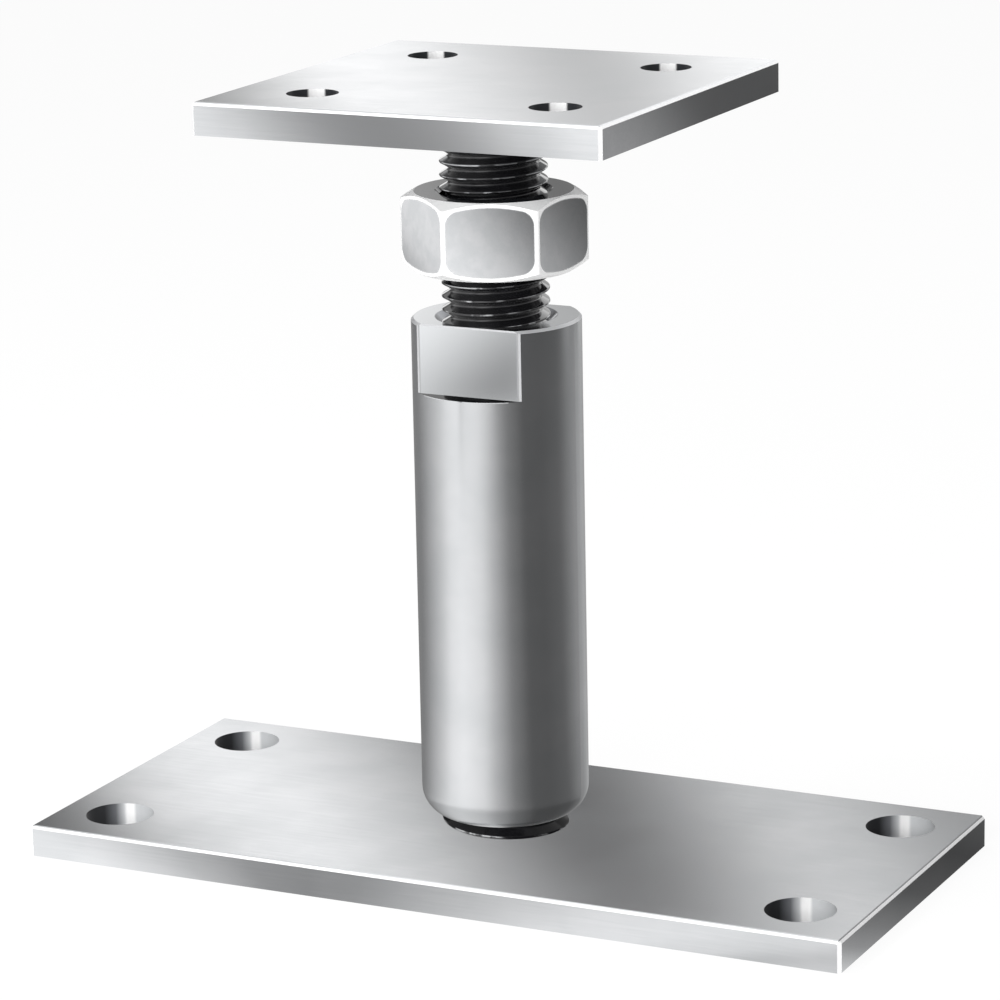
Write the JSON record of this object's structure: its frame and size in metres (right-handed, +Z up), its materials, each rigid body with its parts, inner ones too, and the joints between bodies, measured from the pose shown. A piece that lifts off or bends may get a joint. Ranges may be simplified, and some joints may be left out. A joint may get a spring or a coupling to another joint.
{
  "type": "adjustable post base",
  "caption": "Steel post base: a plate for concrete and a plate for the post, joined by a turning sleeve on opposed threads that sets the height.",
  "frame": {"origin": "centre of the base plate's underside", "axes": "+X along the base plate's long side, +Y across it, +Z up along the column"},
  "size_m": [0.165, 0.08, 0.1472],
  "materials": {
    "plated_plate": "satin zinc plated flat bar",
    "turned_sleeve": "fine turned, zinc plated",
    "plated_nut": "bright zinc plated",
    "black_thread": "black oxide, oiled"
  },
  "bodies": {
    "foot": {"base_plate": "plated_plate", "base_weld": "plated_plate", "lower_stud": "black_thread"},
    "sleeve": {"adjusting_sleeve": "turned_sleeve"},
    "nut": {"lock_nut": "plated_nut"},
    "head": {"upper_rod": "black_thread", "head_plate": "plated_plate", "head_weld": "plated_plate"}
  },
  "joints": [
    {"name": "sleeve_turn", "type": "hinge", "parent": "foot", "child": "sleeve", "pos_m": [0, 0, 0.05], "axis": [0, 0, -1], "range_deg": [-330, 1320]},
    {"name": "head_lift", "type": "slide", "parent": "foot", "child": "head", "axis": [0, 0, 1], "range_m": [-0.00504, 0.02017]},
    {"name": "nut_run", "type": "slide", "parent": "sleeve", "child": "nut", "axis": [0, 0, 1], "range_m": [-0.009, 0.0049]}
  ],
  "couplings": [
    {"joint": "sleeve_turn", "follows": "head_lift", "rad_per_m": 1142.4}
  ]
}
